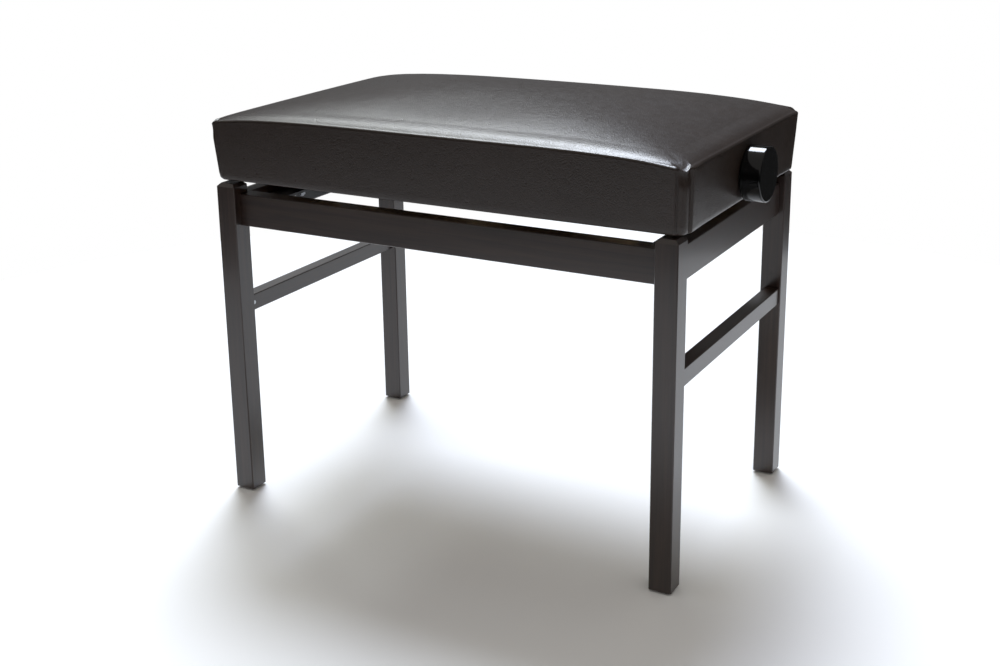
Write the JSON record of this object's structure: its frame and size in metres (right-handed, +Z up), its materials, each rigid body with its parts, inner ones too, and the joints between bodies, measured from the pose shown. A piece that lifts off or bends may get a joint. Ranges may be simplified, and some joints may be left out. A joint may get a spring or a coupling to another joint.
{
  "type": "piano bench",
  "caption": "Height-adjustable piano bench with a padded seat box, a scissor lift and a side knob on a square-legged wooden frame.",
  "frame": {"origin": "on the floor, under the middle of the bench's overall box; the four-leg frame's own middle is 11.1 mm towards -X, because the knob sticks out at +X", "axes": "+X along the bench towards the knob, +Y across it to the back, +Z up"},
  "size_m": [0.6032, 0.357, 0.482],
  "materials": {
    "lacquered_wood": "satin",
    "raw_wood": "matte",
    "plywood": "matte",
    "black_steel": "satin",
    "zinc_steel": "satin",
    "nylon": "satin",
    "knob_plastic": "gloss",
    "foam": "matte",
    "leatherette": "satin"
  },
  "bodies": {
    "frame": {"leg_front_left": "lacquered_wood", "leg_front_right": "lacquered_wood", "leg_back_left": "lacquered_wood", "leg_back_right": "lacquered_wood", "foot_glides": "nylon", "apron_front": "lacquered_wood", "apron_back": "lacquered_wood", "apron_left": "lacquered_wood", "apron_right": "lacquered_wood", "stretcher_left": "lacquered_wood", "stretcher_right": "lacquered_wood", "apron_dowels": "raw_wood", "stretcher_dowels": "raw_wood", "stretcher_pins": "zinc_steel", "corner_brackets": "zinc_steel", "corner_screws": "zinc_steel", "crossbar_left": "black_steel", "crossbar_right": "black_steel", "crossbar_screws": "zinc_steel", "lower_channel_front": "black_steel", "lower_channel_back": "black_steel", "clamp_plates": "zinc_steel", "channel_bolts": "zinc_steel", "channel_nuts": "zinc_steel", "lower_pivot_rod": "zinc_steel"},
    "seat": {"box_rail_front": "raw_wood", "box_rail_back": "raw_wood", "box_rail_left": "raw_wood", "box_rail_right": "raw_wood", "box_corner_blocks": "raw_wood", "seat_board": "plywood", "board_screws": "zinc_steel", "foam_pad": "foam", "seat_cover": "leatherette", "hem_staples": "zinc_steel", "upper_channel_front": "black_steel", "upper_channel_back": "black_steel", "channel_screws": "zinc_steel", "upper_pivot_rod": "zinc_steel", "spindle_bush": "nylon", "spindle_bracket": "black_steel", "bracket_screws": "zinc_steel"},
    "outer_arms": {"outer_arm_front": "black_steel", "outer_arm_back": "black_steel", "upper_cross_rods": "zinc_steel", "scissor_rivets": "zinc_steel", "rivet_washers": "zinc_steel"},
    "inner_arms": {"inner_arm_front": "black_steel", "inner_arm_back": "black_steel", "lower_cross_rod": "zinc_steel"},
    "nut": {"spindle_nut": "zinc_steel"},
    "upper_rollers": {"upper_rollers": "nylon"},
    "lower_rollers": {"lower_rollers": "nylon"},
    "knob_and_spindle": {"spindle": "zinc_steel", "thrust_collar": "zinc_steel", "collar_pin": "zinc_steel", "knob": "knob_plastic", "knob_grub_screw": "zinc_steel"}
  },
  "joints": [
    {"name": "seat_height", "type": "slide", "parent": "frame", "child": "seat", "axis": [0, 0, 1], "range_m": [0, 0.1]},
    {"name": "outer_arm_swing", "type": "hinge", "parent": "frame", "child": "outer_arms", "pos_m": [-0.23005, 0, 0.367], "axis": [0, -1, 0], "range_deg": [0, 13.37]},
    {"name": "inner_arm_swing", "type": "hinge", "parent": "outer_arms", "child": "inner_arms", "pos_m": [-0.01105, 0, 0.38975], "axis": [0, 1, 0], "range_deg": [0, 26.75]},
    {"name": "nut_trunnion", "type": "hinge", "parent": "outer_arms", "child": "nut", "pos_m": [0.20795, 0, 0.4125], "axis": [0, 1, 0], "range_deg": [0, 13.37]},
    {"name": "upper_roller_spin", "type": "hinge", "parent": "outer_arms", "child": "upper_rollers", "pos_m": [0.20795, 0, 0.4125], "axis": [0, 1, 0], "range_deg": [0, 191.52]},
    {"name": "lower_roller_spin", "type": "hinge", "parent": "inner_arms", "child": "lower_rollers", "pos_m": [0.20795, 0, 0.367], "axis": [0, -1, 0], "range_deg": [0, 191.52]},
    {"name": "knob_turn", "type": "hinge", "parent": "seat", "child": "knob_and_spindle", "pos_m": [0.27955, 0, 0.4125], "axis": [-1, 0, 0], "range_deg": [0, 2014.27]}
  ],
  "couplings": [
    {"joint": "outer_arm_swing", "follows": "seat_height", "rad_per_m": 2.3323},
    {"joint": "inner_arm_swing", "follows": "seat_height", "rad_per_m": 4.6646},
    {"joint": "nut_trunnion", "follows": "seat_height", "rad_per_m": 2.3323},
    {"joint": "upper_roller_spin", "follows": "seat_height", "rad_per_m": 33.409},
    {"joint": "lower_roller_spin", "follows": "seat_height", "rad_per_m": 33.409},
    {"joint": "knob_turn", "follows": "seat_height", "rad_per_m": 351.47}
  ]
}
